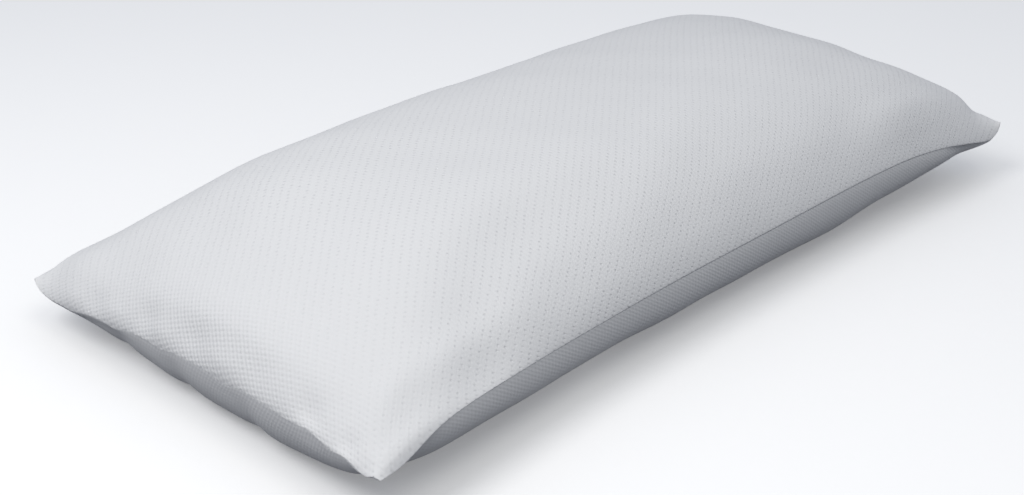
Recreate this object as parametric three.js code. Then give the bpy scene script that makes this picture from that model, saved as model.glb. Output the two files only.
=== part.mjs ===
// Memory foam pillow lying on its back: one filled body of two knitted panels, sewn together all round.
// Millimetres, +X along the length, +Z up, origin on the surface under the middle of the pillow.
// The four sides are left (-X), right (+X), front (-Y) and back (+Y).
import * as THREE from 'three';

// Driving dimensions
const LENGTH = 706; // along X, between the panels' corners before their tips are rounded
const DEPTH = 358; // along Y, the same
const CROWN_HEIGHT = 123.5; // top panel above the surface, in the middle of the pillow
const CROWN_RISE = 2; // how much higher the crown lies towards the right end, and lower towards the left
const DRAWN_IN = { left: 4, right: 8, front: 18, back: 18 }; // middle of a side, inside its corners
const SIDE_BOW = 2.7; // exponent of the curve in which a side is drawn in
const TIP_CUT = 3.5; // how far a corner's tip is rounded back, along X and along Y
const TIP_SHARPNESS = 22; // exponent that keeps this rounding close to the tip
const PRESSED_SHARE = 0.02; // share of its height by which the belly would sink below the surface

// Resolution of each panel, in cells along X and along Y
const CELLS_ALONG = 64;
const CELLS_ACROSS = 44;
const EDGE_CROWDING = 0.62; // 0 spaces the lines evenly, 1 crowds them towards the seam

// Height of the seam above the surface, at places along each side from corner to corner
const SEAM_TABLE_X = 350; // place of a corner in the tables, along a long side
const SEAM_TABLE_Y = 175; // the same, along a short side
const SEAM_FRONT = [
  { x: -350, height: 42.5 },
  { x: -300, height: 50 },
  { x: -220, height: 51.2 },
  { x: -160, height: 51.3 },
  { x: -80, height: 51.8 },
  { x: 40, height: 52 },
  { x: 200, height: 53.8 },
  { x: 258, height: 50 },
  { x: 298, height: 44 },
  { x: 328, height: 39.5 },
  { x: 342, height: 43 },
  { x: 350, height: 51 },
];
const SEAM_BACK = [
  { x: -350, height: 36 },
  { x: -310, height: 44 },
  { x: -180, height: 52 },
  { x: 40, height: 54 },
  { x: 240, height: 52 },
  { x: 315, height: 44 },
  { x: 350, height: 40 },
];
const SEAM_LEFT = [
  { y: -175, height: 42.5 },
  { y: -160, height: 40 },
  { y: -130, height: 40 },
  { y: -60, height: 43 },
  { y: 0, height: 41 },
  { y: 70, height: 36 },
  { y: 140, height: 28 },
  { y: 160, height: 29 },
  { y: 175, height: 36 },
];
const SEAM_RIGHT = [
  { y: -175, height: 51 },
  { y: -140, height: 48 },
  { y: -50, height: 47 },
  { y: 60, height: 52 },
  { y: 135, height: 42 },
  { y: 175, height: 40 },
];

// How a panel falls away towards each side: "reach" keeps its middle flat, "edge" rounds it at the seam
const TOP_FALL = {
  left: { reach: 3.6, edge: 0.73 },
  right: { reach: 6.05, edge: 0.64 },
  front: { reach: 3.65, edge: 0.82 },
  back: { reach: 3.5, edge: 0.81 },
};
const BELLY_FALL = {
  left: { reach: 28, edge: 0.78 },
  right: { reach: 4.2, edge: 0.48 },
  front: { reach: 4.6, edge: 0.35 },
  back: { reach: 5.5, edge: 0.48 },
};
// How far the flattened corners, the ears, reach into each panel
const TOP_EAR = { reach: 10, edge: 0.3 };
const BELLY_EAR = { reach: 3.4, edge: 0.5 };

// Soft troughs (height below 0) and swells (above 0) of the cloth, each an oval that fades out
const FORM_FADE = 0.25; // fullness below which the forms fade to nothing on the seam
const FLOOR_FADE = 8; // height below which the belly's forms fade to nothing on the surface
const TOP_FORMS = [
  { name: 'dent behind the right shoulder', x: 292, y: -78, turn: 40, long: 60, wide: 34, height: -4 },
  { name: 'shoulder of the right ear', x: 336, y: -138, turn: -35, long: 26, wide: 15, height: 4 },
  { name: 'neck of the right ear', x: 343, y: -152, turn: 30, long: 16, wide: 7, height: -4 },
  { name: 'hollow before the left ear', x: -322, y: 96, turn: 80, long: 46, wide: 20, height: -2 },
  { name: 'fullness of the left ear', x: -338, y: 152, turn: 70, long: 30, wide: 22, height: 9 },
  { name: 'fold of the near ear', x: -330, y: -152, turn: 20, long: 30, wide: 11, height: 4 },
  { name: 'fullness of the left end', x: -332, y: -20, turn: 90, long: 90, wide: 22, height: 6.5 },
  { name: 'trough behind the left end', x: -280, y: 75, turn: 75, long: 50, wide: 22, height: -4 },
  { name: 'trough in the front by the near ear', x: -252, y: -160, turn: 48, long: 44, wide: 24, height: -6 },
  { name: 'end of that trough on the crown', x: -168, y: -110, turn: 3, long: 62, wide: 24, height: -5.5 },
  { name: 'swell in the front', x: -45, y: -168, turn: 0, long: 80, wide: 18, height: 3 },
  { name: 'tightness by the near ear', x: -255, y: -170, turn: 0, long: 45, wide: 14, height: -1.5 },
  { name: 'fullness of the front by the near ear', x: -254, y: -150, turn: 0, long: 42, wide: 13, height: 5 },
  { name: 'fullness beside that trough', x: -150, y: -170, turn: 0, long: 45, wide: 14, height: 2.5 },
  { name: 'fullness of the front by the right ear', x: 232, y: -148, turn: 0, long: 62, wide: 14, height: 5 },
  { name: 'fullness of the middle of the front', x: 40, y: -137, turn: 0, long: 95, wide: 14, height: 1.6 },
  { name: 'trough before the right shoulder', x: 215, y: -88, turn: 15, long: 50, wide: 22, height: -3.5 },
  { name: 'fullness of the crown by the right end', x: 175, y: -20, turn: 0, long: 60, wide: 34, height: 3 },
  { name: 'trough of the right end', x: 265, y: -25, turn: 90, long: 45, wide: 22, height: -1.5 },
  { name: 'fullness of the crown by the left end', x: -225, y: 35, turn: 0, long: 45, wide: 30, height: 2 },
  { name: 'fullness of the middle of the crown', x: 20, y: 30, turn: 0, long: 120, wide: 35, height: 2 },
  { name: 'hollow left of the middle', x: -130, y: -25, turn: 0, long: 60, wide: 30, height: -2 },
  { name: 'tightness of the back', x: -140, y: 110, turn: 0, long: 100, wide: 30, height: -1 },
];
const BELLY_FORMS = [
  { name: 'tuck by the left ear', x: -340, y: 100, turn: 90, long: 52, wide: 26, height: 5 },
  { name: 'fullness of the left side', x: -338, y: 0, turn: 90, long: 120, wide: 24, height: -2 },
  { name: 'first tuck in the left side', x: -342, y: 80, turn: 90, long: 10, wide: 22, height: 2.5 },
  { name: 'second tuck', x: -342, y: 16, turn: 90, long: 10, wide: 22, height: 2.5 },
  { name: 'third tuck', x: -342, y: -54, turn: 90, long: 10, wide: 22, height: 2.5 },
  { name: 'tuck by the near ear', x: -328, y: -162, turn: 15, long: 22, wide: 12, height: 2.5 },
  { name: 'tuck in the front', x: -150, y: -146, turn: 0, long: 60, wide: 18, height: 2 },
  { name: 'fullness of the front', x: 118, y: -146, turn: 0, long: 46, wide: 18, height: -3 },
  { name: 'tuck by the right ear', x: 318, y: -163, turn: 20, long: 40, wide: 14, height: 3 },
  { name: 'fold under the right ear', x: 328, y: -165, turn: 0, long: 26, wide: 14, height: -6 },
  { name: 'tuck in the back', x: 60, y: 150, turn: 0, long: 55, wide: 18, height: 4 },
  { name: 'tuck in the right end', x: 336, y: 40, turn: 90, long: 40, wide: 20, height: 4 },
];

// A smooth curve through the rows of a seam table
function along(rows, axis, at) {
  const last = rows.length - 1;
  let i = rows.findIndex((row) => at < row[axis]) - 1;
  if (i < 0) i = at < rows[0][axis] ? 0 : last - 1;
  const here = rows[i];
  const next = rows[i + 1];
  const span = next[axis] - here[axis];
  const t = THREE.MathUtils.clamp((at - here[axis]) / span, 0, 1);
  const slope = (k) => {
    const a = rows[Math.max(k - 1, 0)];
    const b = rows[Math.min(k + 1, last)];
    return (b.height - a.height) / (b[axis] - a[axis]);
  };
  const rise = next.height - here.height;
  const bend = t * (1 - t) * ((1 - t) * (slope(i) * span - rise) - t * (slope(i + 1) * span - rise));
  return here.height + rise * t + bend;
}

// Where the point (u, v) of a panel lies in plan; u and v run from -1 to 1 between opposite seams
function planPoint(u, v) {
  const tip = TIP_CUT * Math.abs(u * v) ** TIP_SHARPNESS;
  const endBow = (u < 0 ? DRAWN_IN.left : DRAWN_IN.right) * (1 - Math.abs(v) ** SIDE_BOW);
  const sideBow = (v < 0 ? DRAWN_IN.front : DRAWN_IN.back) * (1 - Math.abs(u) ** SIDE_BOW);
  return { x: u * (LENGTH / 2 - endBow - tip), y: v * (DEPTH / 2 - sideBow - tip) };
}

// A smooth change from one side's value, at -1, to that of the opposite side, at 1
function between(place, low, high) {
  return low + ((high - low) * (1 + Math.sin((place * Math.PI) / 2))) / 2;
}

// Height of the seam, carried into the panel from its sides
function seamHeight(u, v) {
  const x = u * SEAM_TABLE_X;
  const y = v * SEAM_TABLE_Y;
  const longSide = between(v, along(SEAM_FRONT, 'x', x), along(SEAM_BACK, 'x', x));
  const shortSide = between(u, along(SEAM_LEFT, 'y', y), along(SEAM_RIGHT, 'y', y));
  const toShort = 1 - Math.abs(u);
  const toLong = 1 - Math.abs(v);
  const share = toShort + toLong > 0 ? toShort / (toShort + toLong) : 0.5;
  return longSide * share + shortSide * (1 - share);
}

// How full a panel is at (u, v): 0 on the seam, 1 in the middle
function fullness(u, v, fall, ear) {
  const alongX = u < 0 ? fall.left : fall.right;
  const alongY = v < 0 ? fall.front : fall.back;
  const fromEnds = (1 - Math.abs(u) ** alongX.reach) ** alongX.edge;
  const fromSides = (1 - Math.abs(v) ** alongY.reach) ** alongY.edge;
  const fromEars = (1 - Math.abs(u * v) ** ear.reach) ** ear.edge;
  return fromEnds * fromSides * fromEars;
}

// What the troughs and swells add at a place in plan
function formHeight(forms, x, y) {
  let sum = 0;
  for (const form of forms) {
    const turn = THREE.MathUtils.degToRad(form.turn);
    const dx = x - form.x;
    const dy = y - form.y;
    const lengthwise = (dx * Math.cos(turn) + dy * Math.sin(turn)) / form.long;
    const crosswise = (dy * Math.cos(turn) - dx * Math.sin(turn)) / form.wide;
    sum += form.height * Math.exp(-(lengthwise ** 2) - crosswise ** 2);
  }
  return sum;
}

// The forms fade to nothing on the seam, where the panels meet
function seamFade(full) {
  return Math.min(1, full / FORM_FADE);
}

function topPoint(u, v) {
  const { x, y } = planPoint(u, v);
  const full = fullness(u, v, TOP_FALL, TOP_EAR);
  const seam = seamHeight(u, v);
  const crown = CROWN_HEIGHT + CROWN_RISE * u;
  const z = seam + (crown - seam) * full + formHeight(TOP_FORMS, x, y) * seamFade(full);
  return new THREE.Vector3(x, y, z);
}

// The belly is cut flat where the pillow's weight presses it on the surface
function bellyPoint(u, v) {
  const { x, y } = planPoint(u, v);
  const full = fullness(u, v, BELLY_FALL, BELLY_EAR);
  const round = seamHeight(u, v) * (1 - full * (1 + PRESSED_SHARE));
  const floorFade = Math.min(1, Math.max(0, round) / FLOOR_FADE);
  const z = round + formHeight(BELLY_FORMS, x, y) * seamFade(full) * floorFade;
  return new THREE.Vector3(x, y, Math.max(0, z));
}

// Lines of the grid, closer together towards the seam, where the panels are steep
function gridLines(cells) {
  const lines = [];
  for (let i = 0; i <= cells; i += 1) {
    const even = (2 * i) / cells - 1;
    lines.push((1 - EDGE_CROWDING) * even + EDGE_CROWDING * Math.sin((even * Math.PI) / 2));
  }
  lines[0] = -1;
  lines[cells] = 1;
  return lines;
}

// Both panels as one closed skin: the belly's rim uses the top panel's seam points
function pillowGeometry() {
  const lineU = gridLines(CELLS_ALONG);
  const lineV = gridLines(CELLS_ACROSS);
  const positions = [];
  const addPoint = (point) => positions.push(point.x, point.y, point.z) / 3 - 1;
  const top = lineU.map((u) => lineV.map((v) => addPoint(topPoint(u, v))));
  const onSeam = (i, j) => i === 0 || j === 0 || i === CELLS_ALONG || j === CELLS_ACROSS;
  const belly = lineU.map((u, i) =>
    lineV.map((v, j) => (onSeam(i, j) ? top[i][j] : addPoint(bellyPoint(u, v)))),
  );
  const triangles = [];
  for (let i = 0; i < CELLS_ALONG; i += 1) {
    for (let j = 0; j < CELLS_ACROSS; j += 1) {
      const leaning = i < CELLS_ALONG / 2 === j < CELLS_ACROSS / 2;
      for (const [panel, upward] of [[top, true], [belly, false]]) {
        const corners = [panel[i][j], panel[i + 1][j], panel[i + 1][j + 1], panel[i][j + 1]];
        const [a, b, c, d] = leaning ? corners : [corners[1], corners[2], corners[3], corners[0]];
        triangles.push(...(upward ? [a, b, c, a, c, d] : [a, c, b, a, d, c]));
      }
    }
  }
  const geometry = new THREE.BufferGeometry();
  geometry.setAttribute('position', new THREE.Float32BufferAttribute(positions, 3));
  geometry.setIndex(triangles);
  geometry.computeBoundingBox();
  const middle = geometry.boundingBox.getCenter(new THREE.Vector3());
  geometry.translate(-middle.x, -middle.y, 0);
  geometry.computeVertexNormals();
  return geometry;
}

const knit = new THREE.MeshStandardMaterial({ color: 0xe6e7ea, roughness: 0.9, metalness: 0 });

const pillow = new THREE.Mesh(pillowGeometry(), knit);
pillow.name = 'pillow';

const model = new THREE.Group();
model.add(pillow);

export default model;
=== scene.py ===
# Memory foam pillow in a white knitted cover, lying flat.
# The tables of its form are in millimetres, and Blender's objects in metres.
# +X runs along the pillow, +Y towards its back and +Z up out of its crown.
import math
from collections import namedtuple

import bpy
import numpy as np
from mathutils import Matrix, Vector


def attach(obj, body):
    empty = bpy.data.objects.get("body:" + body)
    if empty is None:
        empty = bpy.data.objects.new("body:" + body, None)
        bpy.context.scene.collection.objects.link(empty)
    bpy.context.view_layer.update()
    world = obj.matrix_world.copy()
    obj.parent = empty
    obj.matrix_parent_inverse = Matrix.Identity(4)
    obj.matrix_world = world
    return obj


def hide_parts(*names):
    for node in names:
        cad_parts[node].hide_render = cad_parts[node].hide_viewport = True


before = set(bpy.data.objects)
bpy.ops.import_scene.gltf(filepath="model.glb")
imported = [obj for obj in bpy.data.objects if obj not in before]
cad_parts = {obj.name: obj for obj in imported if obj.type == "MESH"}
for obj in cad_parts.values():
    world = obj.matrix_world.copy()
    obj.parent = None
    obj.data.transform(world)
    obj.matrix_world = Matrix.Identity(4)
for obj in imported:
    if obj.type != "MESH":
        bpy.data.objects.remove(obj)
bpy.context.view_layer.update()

MM = 0.001

# Driving dimensions, as the pillow's solid has them
LENGTH = 706  # along X, between the panels' corners before their tips are rounded
DEPTH = 358  # along Y, the same
CROWN_HEIGHT = 123.5  # top panel above the surface, in the middle of the pillow
CROWN_RISE = 2  # how much higher the crown lies towards the right end, and lower towards the left
DRAWN_IN = {"left": 4, "right": 8, "front": 18, "back": 18}  # middle of a side, inside its corners
SIDE_BOW = 2.7  # exponent of the curve in which a side is drawn in
TIP_CUT = 3.5  # how far a corner's tip is rounded back, along X and along Y
TIP_SHARPNESS = 22  # exponent that keeps this rounding close to the tip
PRESSED_SHARE = 0.02  # share of its height by which the belly would sink below the surface

# Height of the seam above the surface, as (place along the side, height), from corner to corner
SEAM_TABLE_X = 350  # place of a corner in the tables, along a long side
SEAM_TABLE_Y = 175  # the same, along a short side
SEAM = {
    "front": (
        (-350, 42.5),
        (-300, 50),
        (-220, 51.2),
        (-160, 51.3),
        (-80, 51.8),
        (40, 52),
        (200, 53.8),
        (258, 50),
        (298, 44),
        (328, 39.5),
        (342, 43),
        (350, 51),
    ),
    "back": ((-350, 36), (-310, 44), (-180, 52), (40, 54), (240, 52), (315, 44), (350, 40)),
    "left": (
        (-175, 42.5),
        (-160, 40),
        (-130, 40),
        (-60, 43),
        (0, 41),
        (70, 36),
        (140, 28),
        (160, 29),
        (175, 36),
    ),
    "right": ((-175, 51), (-140, 48), (-50, 47), (60, 52), (135, 42), (175, 40)),
}

# How a panel falls away towards each side, as (reach, edge):
# reach keeps its middle flat, and edge rounds it at the seam
TOP_FALL = {"left": (3.6, 0.73), "right": (6.05, 0.64), "front": (3.65, 0.82), "back": (3.5, 0.81)}
BELLY_FALL = {"left": (28, 0.78), "right": (4.2, 0.48), "front": (4.6, 0.35), "back": (5.5, 0.48)}
# How it falls away towards the flattened corners, the ears, in the same two numbers
TOP_EAR = (10, 0.3)
BELLY_EAR = (3.4, 0.5)

# Soft troughs (height below 0) and swells (above 0): x, y, turn in degrees, half length, half width, height
TOP_FORMS = (
    (292, -78, 40, 60, 34, -4),  # dent behind the right shoulder
    (336, -138, -35, 26, 15, 4),  # shoulder of the right ear
    (343, -152, 30, 16, 7, -4),  # neck of the right ear
    (-322, 96, 80, 46, 20, -2),  # hollow before the left ear
    (-338, 152, 70, 30, 22, 9),  # fullness of the left ear
    (-330, -152, 20, 30, 11, 4),  # fold of the near ear
    (-332, -20, 90, 90, 22, 6.5),  # fullness of the left end
    (-280, 75, 75, 50, 22, -4),  # trough behind the left end
    (-252, -160, 48, 44, 24, -6),  # trough in the front by the near ear
    (-168, -110, 3, 62, 24, -5.5),  # end of that trough on the crown
    (-45, -168, 0, 80, 18, 3),  # swell in the front
    (-255, -170, 0, 45, 14, -1.5),  # tightness by the near ear
    (-254, -150, 0, 42, 13, 5),  # fullness of the front by the near ear
    (-150, -170, 0, 45, 14, 2.5),  # fullness beside that trough
    (232, -148, 0, 62, 14, 5),  # fullness of the front by the right ear
    (40, -137, 0, 95, 14, 1.6),  # fullness of the middle of the front
    (215, -88, 15, 50, 22, -3.5),  # trough before the right shoulder
    (175, -20, 0, 60, 34, 3),  # fullness of the crown by the right end
    (265, -25, 90, 45, 22, -1.5),  # trough of the right end
    (-225, 35, 0, 45, 30, 2),  # fullness of the crown by the left end
    (20, 30, 0, 120, 35, 2),  # fullness of the middle of the crown
    (-130, -25, 0, 60, 30, -2),  # hollow left of the middle
    (-140, 110, 0, 100, 30, -1),  # tightness of the back
)
BELLY_FORMS = (
    (-340, 100, 90, 52, 26, 5),  # tuck by the left ear
    (-338, 0, 90, 120, 24, -2),  # fullness of the left side
    (-342, 80, 90, 10, 22, 2.5),  # first tuck in the left side
    (-342, 16, 90, 10, 22, 2.5),  # second tuck
    (-342, -54, 90, 10, 22, 2.5),  # third tuck
    (-328, -162, 15, 22, 12, 2.5),  # tuck by the near ear
    (-150, -146, 0, 60, 18, 2),  # tuck in the front
    (118, -146, 0, 46, 18, -3),  # fullness of the front
    (318, -163, 20, 40, 14, 3),  # tuck by the right ear
    (328, -165, 0, 26, 14, -6),  # fold under the right ear
    (60, 150, 0, 55, 18, 4),  # tuck in the back
    (336, 40, 90, 40, 20, 4),  # tuck in the right end
)
FORM_FADE = 0.25  # fullness below which the forms fade to nothing on the seam
FLOOR_FADE = 8  # height below which the belly's forms and relief fade to nothing on the surface

# How far in from the panels' edges the stitches lie, as (place along the side, depth)
RECESS = {
    "left": ((0, 1.2),),
    "right": ((0, 1.8),),
    "front": ((-150, 0.1), (0, 0.5)),
    "back": ((0, 0.8),),
}
# Width of the band in which a panel turns in to the stitches
TOP_ROLL = {"left": 15, "right": 11, "front": 1.3, "back": 1.3}
BELLY_ROLL = {"left": 40, "right": 40, "front": 8, "back": 8}
SOFT_SIDES = ("left", "right")  # here the top panel rounds over the seam without a groove

# Puffs (height above 0) and dents (below 0) of the top panel beside the seam, which are the gathers
# of the short sides and the crease of the near ear:
# side, place along it, half length, distance from the seam, reach from there, height
GATHERS = (
    ("left", 128, 9, 7, 7, 0.8),
    ("left", 104, 9, 12, 8, -1.2),
    ("left", 80, 10, 7, 7, 0.8),
    ("left", 47, 10, 14, 9, -1.6),
    ("left", 27, 9, 8, 7, 0.8),
    ("left", -3, 12, 15, 9, -1.5),
    ("left", -36, 12, 8, 8, 0.8),
    ("left", -66, 10, 14, 9, -0.8),
    ("left", -112, 9, 13, 8, -1.6),
    ("left", -147, 7, 8, 7, -1.5),
    ("front", -334, 18, 4.6, 1.2, -0.9),
    ("right", 110, 11, 12, 8, 1.6),
    ("right", 62, 13, 15, 9, 2.0),
    ("right", 34, 9, 10, 9, -1.0),
    ("right", -20, 12, 14, 9, 1.6),
    ("right", -72, 13, 16, 10, 2.0),
    ("right", -104, 9, 10, 8, -1.0),
)
# Where the belly draws in below an ear: side, place along it, half length, distance from the seam, depth
NECKS = (
    ("front", -332, 24, 12, 6),
    ("front", 300, 24, 5, 4),
    ("back", -320, 26, 12, 4),
    ("back", 330, 24, 12, 4),
)
# Where the top panel folds down over the seam, or the seam is lifted (drop below 0):
# side, place along it, half length, drop of the seam, width of the fold
FOLDED_EDGES = (
    ("front", -333, 25, 6, 4),
    ("back", -330, 16, 3, 6),
    ("back", 334, 16, 3, 6),
    ("left", 128, 9, 1.5, 9),
    ("left", 79, 10, 2.5, 9),
    ("left", 27, 9, 2, 9),
    ("left", -37, 12, 3, 9),
    ("left", -118, 12, -3, 9),
    ("left", -148, 8, -1.5, 9),
    ("left", -166, 8, 3, 9),
)
BELLY_FOLD_WIDTH = 9  # over which the belly takes up the same drop

# Puckers of the cloth along the stitches and broad unevenness of the filling, both sums of waves
PUCKER_HEIGHT = 0.12
PUCKER_LENGTHS = (31, 19, 13)
PUCKER_REACH = 6  # how far they run into a panel
UNEVEN_HEIGHT = 0.5
UNEVEN_WAVES = (((0.8, 0.6), (131, 87, 59)), ((-0.45, 0.9), (113, 71, 47)))  # direction in plan, lengths
UNEVEN_FADE = 40  # distance from the seam within which the unevenness fades to nothing
STITCH_FADE = 3  # the same for puckers and gathers
FIRST_SEED = {"top": 3, "belly": 7}  # of a panel's first sum of waves; each later sum has the next number

# How slack the knit lies, which deepens its pits and ribs and the painted shade in its pits
SLACK = {"top": 1.1, "belly": 0.45}
# Where the top panel's knit lies more slack or less so, and where its fine grid shows instead of the pits,
# both as the rows of TOP_FORMS; on the belly the grid shows everywhere
SLACKER = (
    (-318, -120, 0, 75, 65, -0.35),
    (-60, -150, 0, 260, 60, 0.2),
    (290, -80, 0, 130, 110, 0.5),
    (-200, 70, 0, 110, 60, 0.25),
)
GRIDDED = ((-350, -20, 90, 170, 55, 1.0), (350, -60, 90, 120, 70, 0.4))

# Cells of each panel's mesh
CELLS_ALONG = 270
CELLS_ACROSS = 152
RIM_CROWDING = 6  # how many times closer the mesh's lines are on the seam
RIM_ZONE = 7  # distance from the seam over which they spread out
FINE_POINTS = 8001  # of the lines along which the cells are measured out
TINY = 1e-9  # stands in for a divisor of 0

# Knit of the cover, in millimetres of cloth
COLUMN_PITCH = 3.4  # between columns of pits
PIT_PITCH = 6.0  # between the pits of a column
COLUMN_SHIFT = 2.3  # how much each column lies behind the last
SKEW = 0.2  # how far the columns lean, as a share of their length
SKEW_CHANGE = -0.00043  # change of that lean, per millimetre towards the right
BELLY_SKEW = -0.35  # how much further they lean on the belly
PIT_RADIUS = 1.3
PIT_DEPTH = 0.22
FAINTEST_PIT = 0.4  # depth of the faintest pit, as a share of the deepest one's
STRAY_ACROSS = 0.5  # width of the strip in which the pits of a column lie
STRAY_ALONG = 1.0  # length of the stretch of it in which one pit lies
NOISE_MIDDLE = 0.5  # of the random numbers that place the pits, which run from 0 to 1
COLUMN_RIB = 0.03  # height of the soft ribs between the columns
CROSS_RIB = 0.02  # height of those that cross them, between slanting rows of pits
GRID_RIB = 0.075  # height of the fine grid that shows instead of the pits where the knit is stretched
GRID_ROWS = 2  # rows of that grid to each pit of a column
GRID_COLUMNS = 0.35  # height of its columns, as a share of its rows'
GRID_PITS = 0.2  # share of the pits' depth that is left in it
LOOP_SIZE = 1.3  # of the knit's own uneven loops
LOOP_HEIGHT = 0.18
COVER_COLOUR = (0.800, 0.802, 0.808, 1)
# Painted shade: the pits are darkened with this colour, standing in for the shade that falls in their
# hollows
PIT_SHADE_COLOUR = (0.66, 0.665, 0.68, 1)
PIT_SHADE_SHARE = 0.5  # share of that colour in the middle of the deepest pits, where the slack is 1

# The photograph's camera, fitted to the pillow's outline. Its picture is 1024 pixels wide and lies
# 1400 pixels from the lens.
IMAGE_WIDTH = 1024
FOCAL_PIXELS = 1400
SENSOR_WIDTH = 36  # in millimetres
CAMERA_PLACE = Vector((-0.7398, -0.6421, 0.4558))
CAMERA_AZIMUTH = -46.46
CAMERA_ELEVATION = 25.13
CAMERA_RANGE = (0.01, 50)  # nearest and farthest that it sees

FLOOR_SIZE = 12
FLOOR_COLOUR = (0.93, 0.93, 0.93, 1)
FLOOR_BOUNCE = (0.08, 0.085, 0.1, 1)  # colour of the floor for the light that it throws back on the pillow
FLOOR_GLOW = 0.18  # lifts the floor to the photograph's pale background
SKY_COLOUR = (0.93, 0.975, 1.07, 1)
SKY_STRENGTH = 0.49

# Two soft lamps, aimed at the pillow
LAMP_TARGET = Vector((0, 0, 0.08))
KEY_PLACE = Vector((-1.09, 0, 1.325))
KEY_SIZE = 0.8
KEY_POWER = 9.0
KEY_COLOUR = (1.0, 0.985, 0.965)
FILL_PLACE = Vector((-0.43, -0.745, 1.31))
FILL_SIZE = 0.8
FILL_POWER = 3.4
FILL_COLOUR = (1.0, 0.96, 0.86)

# Sockets of Blender's mix node that belong to a mix of colours
MIX_SHARE = 0
MIX_FIRST = 6
MIX_SECOND = 7
MIX_RESULT = 2


# Form of the two panels, as the solid has it

def smooth_table(rows, at):
    """A smooth curve through the rows of a seam table."""
    places = np.array([row[0] for row in rows], float)
    heights = np.array([row[1] for row in rows], float)
    last = len(rows) - 1
    below = np.maximum(np.arange(last + 1) - 1, 0)
    above = np.minimum(np.arange(last + 1) + 1, last)
    slopes = (heights[above] - heights[below]) / (places[above] - places[below])
    i = np.clip(np.searchsorted(places, at, side="right") - 1, 0, last - 1)
    span = places[i + 1] - places[i]
    rise = heights[i + 1] - heights[i]
    t = np.clip((at - places[i]) / span, 0, 1)
    bend = t * (1 - t) * ((1 - t) * (slopes[i] * span - rise) - t * (slopes[i + 1] * span - rise))
    return heights[i] + rise * t + bend


def power(base, exponent):
    """base ** exponent, with 0 for a base that rounding took below 0."""
    return np.maximum(base, 0) ** exponent


def hump(place, middle, half_width):
    """A soft hump that is 1 in its middle and fades out beyond its half width."""
    return np.exp(-(((place - middle) / half_width) ** 2))


def plan(u, v):
    """Where (u, v) of a panel lies in plan; u and v run from -1 to 1 between opposite seams."""
    tip = TIP_CUT * np.abs(u * v) ** TIP_SHARPNESS
    end_bow = np.where(u < 0, DRAWN_IN["left"], DRAWN_IN["right"]) * (1 - np.abs(v) ** SIDE_BOW)
    side_bow = np.where(v < 0, DRAWN_IN["front"], DRAWN_IN["back"]) * (1 - np.abs(u) ** SIDE_BOW)
    return u * (LENGTH / 2 - end_bow - tip), v * (DEPTH / 2 - side_bow - tip)


def between(place, low, high):
    """A smooth change from one side's value, at -1, to that of the opposite side, at 1."""
    return low + (high - low) * (1 + np.sin(place * math.pi / 2)) / 2


def seam_height(u, v):
    """Height of the seam, carried into the panel from its sides."""
    x = u * SEAM_TABLE_X
    y = v * SEAM_TABLE_Y
    long_side = between(v, smooth_table(SEAM["front"], x), smooth_table(SEAM["back"], x))
    short_side = between(u, smooth_table(SEAM["left"], y), smooth_table(SEAM["right"], y))
    to_short = 1 - np.abs(u)
    to_both = to_short + 1 - np.abs(v)
    share = np.where(to_both > 0, to_short / np.maximum(to_both, TINY), 0.5)
    return long_side * share + short_side * (1 - share)


def fullness(u, v, fall, ear):
    """How full a panel is at (u, v): 0 on the seam, 1 in the middle."""
    parts = []
    for value, low, high in ((u, "left", "right"), (v, "front", "back")):
        reach = np.where(value < 0, fall[low][0], fall[high][0])
        edge = np.where(value < 0, fall[low][1], fall[high][1])
        parts.append(power(1 - np.abs(value) ** reach, edge))
    return parts[0] * parts[1] * power(1 - np.abs(u * v) ** ear[0], ear[1])


def form_height(forms, x, y):
    """What the troughs and swells add at a place in plan."""
    total = np.zeros(np.broadcast(x, y).shape)
    for form_x, form_y, turn, long, wide, height in forms:
        c = math.cos(math.radians(turn))
        s = math.sin(math.radians(turn))
        lengthwise = (x - form_x) * c + (y - form_y) * s
        crosswise = (y - form_y) * c - (x - form_x) * s
        total += height * hump(lengthwise, 0, long) * hump(crosswise, 0, wide)
    return total


def top_panel(u, v):
    """Points of the top panel."""
    x, y = plan(u, v)
    full = fullness(u, v, TOP_FALL, TOP_EAR)
    seam = seam_height(u, v)
    forms = form_height(TOP_FORMS, x, y) * np.minimum(1, full / FORM_FADE)
    return np.stack((x, y, seam + (CROWN_HEIGHT + CROWN_RISE * u - seam) * full + forms), axis=-1)


def belly_panel(u, v):
    """Points of the belly, which is cut flat where the pillow's weight presses it on the surface."""
    x, y = plan(u, v)
    full = fullness(u, v, BELLY_FALL, BELLY_EAR)
    bulge = seam_height(u, v) * (1 - full * (1 + PRESSED_SHARE))
    fade = np.minimum(1, full / FORM_FADE) * np.clip(bulge / FLOOR_FADE, 0, 1)
    return np.stack((x, y, np.maximum(0, bulge + form_height(BELLY_FORMS, x, y) * fade)), axis=-1)


# The same panels as cloth, finer than the solid has them

def steps(points, axis):
    """Distances between neighbours of a grid of points along one axis."""
    return np.linalg.norm(np.diff(points, axis=axis), axis=-1)


def grid_lines(cells, across):
    """Lines of the mesh, evenly spaced on the steeper panel and crowded towards the seam."""
    fine = np.sin(np.linspace(-0.5, 0.5, FINE_POINTS) * math.pi)
    u, v = (np.zeros_like(fine), fine) if across else (fine, np.zeros_like(fine))
    length = np.maximum(steps(top_panel(u, v), 0), steps(belly_panel(u, v), 0))
    along = np.cumsum(length) - length / 2
    to_rim = np.minimum(along, along[-1] - along)
    weighted = length * (1 + (RIM_CROWDING - 1) * hump(to_rim, 0, RIM_ZONE))
    reached = np.concatenate(((0,), np.cumsum(weighted)))
    return np.interp(np.linspace(0, reached[-1], cells + 1), reached, fine)


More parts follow.
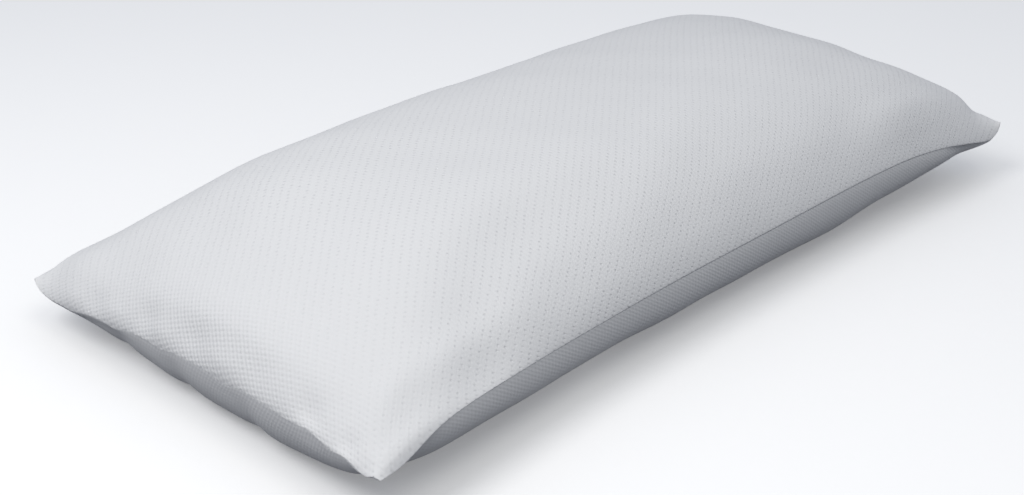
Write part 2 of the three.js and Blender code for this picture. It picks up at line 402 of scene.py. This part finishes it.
def grid_normals(points, upward):
    """Unit normals of a grid of points, up for the top panel and down for the belly."""
    across = np.cross(np.gradient(points, axis=0), np.gradient(points, axis=1))
    size = np.linalg.norm(across, axis=-1, keepdims=True)
    return across / np.maximum(size, TINY) * (1 if upward else -1)


def waves(place, lengths, seed):
    """A sum of sine waves of the given lengths with seeded phases, between -1 and 1."""
    phases = np.random.default_rng(seed).uniform(0, 2 * math.pi, len(lengths))
    total = sum(np.sin(2 * math.pi * place / length + phase) for length, phase in zip(lengths, phases))
    return total / len(lengths)


# One side of a panel: every point's distance from that seam and place along it,
# and the axis and the direction that lead in from it
Side = namedtuple("Side", "name distance place axis inward")


def own_rows(table, side):
    """The rows of a table that are about one side, without its name."""
    return [row[1:] for row in table if row[0] == side.name]


def gathers(side):
    """Height of the puffs and dents of the top panel beside a side's seam."""
    total = np.zeros_like(side.place)
    for middle, half_length, away, reach, height in own_rows(GATHERS, side):
        total += height * hump(side.place, middle, half_length) * hump(side.distance, away, reach)
    return total


def recess(side):
    """How far in a side's stitches lie."""
    places, depths = zip(*RECESS[side.name])
    return np.interp(side.place, places, depths)


def neck(side):
    """How far the belly draws in below the ears of a side."""
    total = np.zeros_like(side.place)
    for middle, half_length, away, depth in own_rows(NECKS, side):
        across = side.distance / away * np.exp(1 - side.distance / away)
        total += depth * across * hump(side.place, middle, half_length)
    return total


def seam_drop(side, upward):
    """How far a panel is lowered where a side's edge folds down over the seam."""
    total = np.zeros_like(side.place)
    for middle, half_length, drop, width in own_rows(FOLDED_EDGES, side):
        share = np.clip(1 - side.distance / (width if upward else BELLY_FOLD_WIDTH), 0, 1)
        total += drop * share * hump(side.place, middle, half_length)
    return total


def relief(x, y, sides, upward):
    """Height of the filling's unevenness, the gathers beside the seam and the puckers along the stitches."""
    seed = FIRST_SEED["top" if upward else "belly"]
    uneven = np.zeros_like(x)
    for (towards_x, towards_y), lengths in UNEVEN_WAVES:
        uneven += waves(x * towards_x + y * towards_y, lengths, seed)
        seed += 1
    from_seam = np.minimum.reduce([side.distance for side in sides])
    height = UNEVEN_HEIGHT * uneven * np.minimum(1, from_seam / UNEVEN_FADE)
    for side in sides:
        beside = PUCKER_HEIGHT * waves(side.place, PUCKER_LENGTHS, seed)
        beside *= np.exp(-side.distance / PUCKER_REACH)
        if upward:
            beside += gathers(side)
        height += beside * np.minimum(1, from_seam / STITCH_FADE)
    return height


def sew(points, sides, upward):
    """Rolls a panel in to its stitches, draws the belly in below the ears and folds the edges down."""
    for side in sides:
        rest = np.clip(1 - side.distance / (TOP_ROLL if upward else BELLY_ROLL)[side.name], 0, 1)
        grooved = upward and side.name not in SOFT_SIDES
        turned = 1 - np.sqrt(1 - rest**2) if grooved else rest**2
        points[..., side.axis] += side.inward * recess(side) * turned
        if not upward:
            points[..., side.axis] += side.inward * neck(side)
        points[..., 2] -= seam_drop(side, upward)
    points[..., 2] = np.maximum(points[..., 2], 0)


def cloth_panel(shape, upward, lines_u, lines_v):
    """Points of a finished panel, its cloth's own coordinates in millimetres, and how its knit lies."""
    u, v = np.meshgrid(lines_u, lines_v, indexing="ij")
    plain = shape(u, v)
    x, y = plain[..., 0], plain[..., 1]
    along = np.concatenate((np.zeros((1, v.shape[1])), np.cumsum(steps(plain, 0), axis=0)))
    across = np.concatenate((np.zeros((u.shape[0], 1)), np.cumsum(steps(plain, 1), axis=1)), axis=1)
    cloth_y = across - across[:, -1:] / 2
    cloth_x = along - along[-1] / 2 + (0 if upward else BELLY_SKEW) * cloth_y
    sides = (
        Side("left", along, y, 0, 1),
        Side("right", along[-1] - along, y, 0, -1),
        Side("front", across, x, 1, 1),
        Side("back", across[:, -1:] - across, x, 1, -1),
    )
    lift = relief(x, y, sides, upward) * np.clip(plain[..., 2] / FLOOR_FADE, 0, 1)
    points = plain + grid_normals(plain, upward) * lift[..., None]
    sew(points, sides, upward)
    if upward:
        knit = {"slack": SLACK["top"] + form_height(SLACKER, x, y), "gridded": form_height(GRIDDED, x, y)}
    else:
        knit = {"slack": np.full(x.shape, SLACK["belly"]), "gridded": np.ones(x.shape)}
    return points, np.stack((cloth_x, cloth_y), axis=-1), knit


def add_pillow(material):
    """The cover as one closed skin: the belly's rim uses the top panel's seam points."""
    lines_u = grid_lines(CELLS_ALONG, across=False)
    lines_v = grid_lines(CELLS_ACROSS, across=True)
    top, top_cloth, top_knit = cloth_panel(top_panel, True, lines_u, lines_v)
    belly, belly_cloth, belly_knit = cloth_panel(belly_panel, False, lines_u, lines_v)
    rows, columns = len(lines_u), len(lines_v)
    numbers = np.arange(rows * columns).reshape(rows, columns)
    inner = np.zeros((rows, columns), bool)
    inner[1:-1, 1:-1] = True
    belly_numbers = numbers.copy()
    belly_numbers[inner] = rows * columns + np.arange(inner.sum())
    points = np.concatenate((top.reshape(-1, 3), belly[inner]))
    middle = (points.min(axis=0) + points.max(axis=0)) / 2
    points[:, :2] -= middle[:2]

    corners = (numbers[:-1, :-1], numbers[1:, :-1], numbers[1:, 1:], numbers[:-1, 1:])
    cells = np.stack(corners, axis=-1).reshape(-1, 4)
    turned = cells[:, ::-1]
    faces = np.concatenate((cells, belly_numbers.ravel()[turned]))
    cloth = np.concatenate((top_cloth.reshape(-1, 2)[cells], belly_cloth.reshape(-1, 2)[turned]))
    mesh = bpy.data.meshes.new("knit_cover")
    mesh.from_pydata((points * MM).tolist(), [], faces.tolist())
    mesh.uv_layers.new(name="cloth").data.foreach_set("uv", (cloth * MM).ravel())
    for name in top_knit:
        values = np.concatenate((top_knit[name].ravel(), belly_knit[name][inner]))
        mesh.attributes.new(name, "FLOAT", "POINT").data.foreach_set("value", values)
    mesh.polygons.foreach_set("use_smooth", np.ones(len(mesh.polygons), bool))
    mesh.materials.append(material)
    mesh.update()
    pillow = bpy.data.objects.new("knit_cover", mesh)
    bpy.context.scene.collection.objects.link(pillow)
    return pillow


# Materials

class Nodes:
    """Adds nodes to a material, each with its inputs given by value or by another node's output."""

    def __init__(self, material):
        material.use_nodes = True
        self.tree = material.node_tree
        self.tree.nodes.clear()

    def add(self, kind, *inputs, output=0, **settings):
        """One node, and from it the output of the given name or number."""
        node = self.tree.nodes.new(kind)
        named = settings.pop("named", {})
        for name, value in settings.items():
            setattr(node, name, value)
        for key, value in list(enumerate(inputs)) + list(named.items()):
            if isinstance(value, bpy.types.NodeSocket):
                self.tree.links.new(value, node.inputs[key])
            else:
                node.inputs[key].default_value = value
        return node.outputs[output] if node.outputs else node

    def math(self, operation, *inputs):
        return self.add("ShaderNodeMath", *inputs, operation=operation)

    def part(self, vector, axis):
        return self.add("ShaderNodeSeparateXYZ", vector, output=axis)

    def wave(self, turns):
        """A cosine, 1 wherever the turns are a whole number."""
        return self.math("COSINE", self.math("MULTIPLY", turns, 2 * math.pi))

    def mix(self, share, first, second):
        """A colour between two others."""
        inputs = {MIX_SHARE: share, MIX_FIRST: first, MIX_SECOND: second}
        return self.add("ShaderNodeMix", data_type="RGBA", output=MIX_RESULT, named=inputs)


def knit_pits(nodes, x, y):
    """1 in the middle of a pit and 0 outside, where each pit strays a little and some are fainter."""
    column = nodes.math("ROUND", nodes.math("DIVIDE", x, COLUMN_PITCH))
    from_column = nodes.math("MULTIPLY_ADD", column, -COLUMN_PITCH, x)
    place = nodes.math("DIVIDE", nodes.math("MULTIPLY_ADD", column, -COLUMN_SHIFT, y), PIT_PITCH)
    row = nodes.math("ROUND", place)
    from_row = nodes.math("MULTIPLY", nodes.math("SUBTRACT", place, row), PIT_PITCH)
    number = nodes.add("ShaderNodeCombineXYZ", column, row)
    chance = nodes.add("ShaderNodeTexWhiteNoise", number, noise_dimensions="2D", output="Value")
    stray = nodes.add("ShaderNodeTexWhiteNoise", number, noise_dimensions="2D", output="Color")
    stray_across = nodes.math("SUBTRACT", nodes.part(stray, "X"), NOISE_MIDDLE)
    stray_along = nodes.math("SUBTRACT", nodes.part(stray, "Y"), NOISE_MIDDLE)
    from_column = nodes.math("MULTIPLY_ADD", stray_across, STRAY_ACROSS, from_column)
    from_row = nodes.math("MULTIPLY_ADD", stray_along, STRAY_ALONG, from_row)
    square = nodes.math("MULTIPLY", from_column, from_column)
    distance = nodes.math("SQRT", nodes.math("MULTIPLY_ADD", from_row, from_row, square))
    pit = nodes.add(
        "ShaderNodeMapRange",
        interpolation_type="SMOOTHERSTEP",
        named={"Value": distance, "From Min": 0.0, "From Max": PIT_RADIUS, "To Min": 1.0, "To Max": 0.0},
    )
    return nodes.math("MULTIPLY", pit, nodes.math("MULTIPLY_ADD", chance, 1 - FAINTEST_PIT, FAINTEST_PIT))


def knit_height(nodes, scaled, x, y, pit, gridded):
    """Relief of the knit: its own uneven loops, hollowed by the pits and between the ribs and the grid."""
    columns = nodes.math("DIVIDE", x, COLUMN_PITCH)
    rows = nodes.math("DIVIDE", nodes.math("MULTIPLY_ADD", columns, -COLUMN_SHIFT, y), PIT_PITCH)
    column_wave = nodes.wave(columns)
    cross_wave = nodes.wave(nodes.math("ADD", columns, rows))
    grid_wave = nodes.wave(nodes.math("MULTIPLY", rows, GRID_ROWS))
    grid_wave = nodes.math("MULTIPLY_ADD", column_wave, GRID_COLUMNS, grid_wave)
    grid_wave = nodes.math("MULTIPLY", grid_wave, gridded)
    detail = {"Scale": 1 / LOOP_SIZE, "Detail": 1.0}
    loops = nodes.add("ShaderNodeTexNoise", scaled, named=detail, output="Fac")
    height = nodes.math("MULTIPLY", loops, LOOP_HEIGHT * MM)
    hollows = ((column_wave, COLUMN_RIB), (cross_wave, CROSS_RIB), (grid_wave, GRID_RIB), (pit, PIT_DEPTH))
    for hollow, depth in hollows:
        height = nodes.math("MULTIPLY_ADD", hollow, -depth * MM, height)
    return height


def knit_material():
    """White knit with columns of small pits, each column a bit over a third of a pitch behind the last; the
    pits are hollowed in relief and darkened with painted shade.
    """
    material = bpy.data.materials.new("knit_cover")
    nodes = Nodes(material)
    place = nodes.add("ShaderNodeUVMap", uv_map="cloth")
    scaled = nodes.add("ShaderNodeVectorMath", place, operation="SCALE", named={"Scale": 1 / MM})
    along = nodes.part(scaled, "X")
    y = nodes.part(scaled, "Y")
    lean = nodes.math("MULTIPLY_ADD", along, SKEW_CHANGE, SKEW)
    x = nodes.math("MULTIPLY_ADD", lean, y, along)
    slack = nodes.add("ShaderNodeAttribute", attribute_name="slack", output="Fac")
    gridded = nodes.add("ShaderNodeAttribute", attribute_name="gridded", output="Fac")

    pits_left = nodes.math("MULTIPLY_ADD", gridded, GRID_PITS - 1, 1.0)
    pit = nodes.math("MULTIPLY", knit_pits(nodes, x, y), pits_left)
    height = nodes.math("MULTIPLY", knit_height(nodes, scaled, x, y, pit, gridded), slack)
    bump = nodes.add("ShaderNodeBump", named={"Strength": 1.0, "Distance": 1.0, "Height": height})
    # Painted shade in the pits, stronger where the knit lies slacker
    pit_shade = nodes.math("MULTIPLY", nodes.math("MULTIPLY", pit, slack), PIT_SHADE_SHARE)
    shader = nodes.add(
        "ShaderNodeBsdfPrincipled",
        named={
            "Base Color": nodes.mix(pit_shade, COVER_COLOUR, PIT_SHADE_COLOUR),
            "Roughness": 0.95,
            "Specular IOR Level": 0.15,
            "Sheen Weight": 0.05,
            "Sheen Roughness": 0.5,
            "Normal": bump,
        },
    )
    nodes.add("ShaderNodeOutputMaterial", shader)
    return material


def floor_material():
    """Pale where the camera sees it, and darker for the light that it throws back on the pillow."""
    material = bpy.data.materials.new("floor")
    nodes = Nodes(material)
    bounced = nodes.add("ShaderNodeLightPath", output="Is Diffuse Ray")
    glow = nodes.math("MULTIPLY", nodes.math("SUBTRACT", 1.0, bounced), FLOOR_GLOW)
    shader = nodes.add(
        "ShaderNodeBsdfPrincipled",
        named={
            "Base Color": nodes.mix(bounced, FLOOR_COLOUR, FLOOR_BOUNCE),
            "Roughness": 1.0,
            "Specular IOR Level": 0.0,
            "Emission Color": (1, 1, 1, 1),
            "Emission Strength": glow,
        },
    )
    nodes.add("ShaderNodeOutputMaterial", shader)
    return material


# Floor, light and camera, which are not part of the pillow

def add_floor():
    half = FLOOR_SIZE / 2
    mesh = bpy.data.meshes.new("floor")
    corners = [(-half, -half, 0), (half, -half, 0), (half, half, 0), (-half, half, 0)]
    mesh.from_pydata(corners, [], [(0, 1, 2, 3)])
    mesh.materials.append(floor_material())
    floor = bpy.data.objects.new("floor", mesh)
    bpy.context.scene.collection.objects.link(floor)


def add_lamp(name, place, size, power, colour):
    light = bpy.data.lights.new(name, "AREA")
    light.shape = "DISK"
    light.size = size
    light.energy = power
    light.color = colour
    lamp = bpy.data.objects.new(name, light)
    lamp.location = place
    lamp.rotation_euler = (LAMP_TARGET - place).to_track_quat("-Z", "Y").to_euler()
    bpy.context.scene.collection.objects.link(lamp)


def add_sky():
    world = bpy.data.worlds.new("studio")
    world.use_nodes = True
    background = world.node_tree.nodes["Background"]
    background.inputs["Color"].default_value = SKY_COLOUR
    background.inputs["Strength"].default_value = SKY_STRENGTH
    bpy.context.scene.world = world


def add_camera():
    azimuth = math.radians(CAMERA_AZIMUTH)
    elevation = math.radians(CAMERA_ELEVATION)
    back = Vector(
        (
            math.sin(azimuth) * math.cos(elevation),
            -math.cos(azimuth) * math.cos(elevation),
            math.sin(elevation),
        )
    )
    data = bpy.data.cameras.new("camera")
    data.sensor_fit = "HORIZONTAL"
    data.sensor_width = SENSOR_WIDTH
    data.lens = FOCAL_PIXELS / IMAGE_WIDTH * SENSOR_WIDTH
    data.clip_start, data.clip_end = CAMERA_RANGE
    camera = bpy.data.objects.new("camera", data)
    turn = back.to_track_quat("Z", "Y").to_matrix().to_4x4()
    camera.matrix_world = Matrix.Translation(CAMERA_PLACE) @ turn
    bpy.context.scene.collection.objects.link(camera)
    bpy.context.scene.camera = camera


pillow = add_pillow(knit_material())
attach(pillow, "root")
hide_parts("pillow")

add_floor()
add_sky()
add_lamp("key", KEY_PLACE, KEY_SIZE, KEY_POWER, KEY_COLOUR)
add_lamp("fill", FILL_PLACE, FILL_SIZE, FILL_POWER, FILL_COLOUR)
add_camera()
bpy.context.scene.view_settings.view_transform = "Standard"
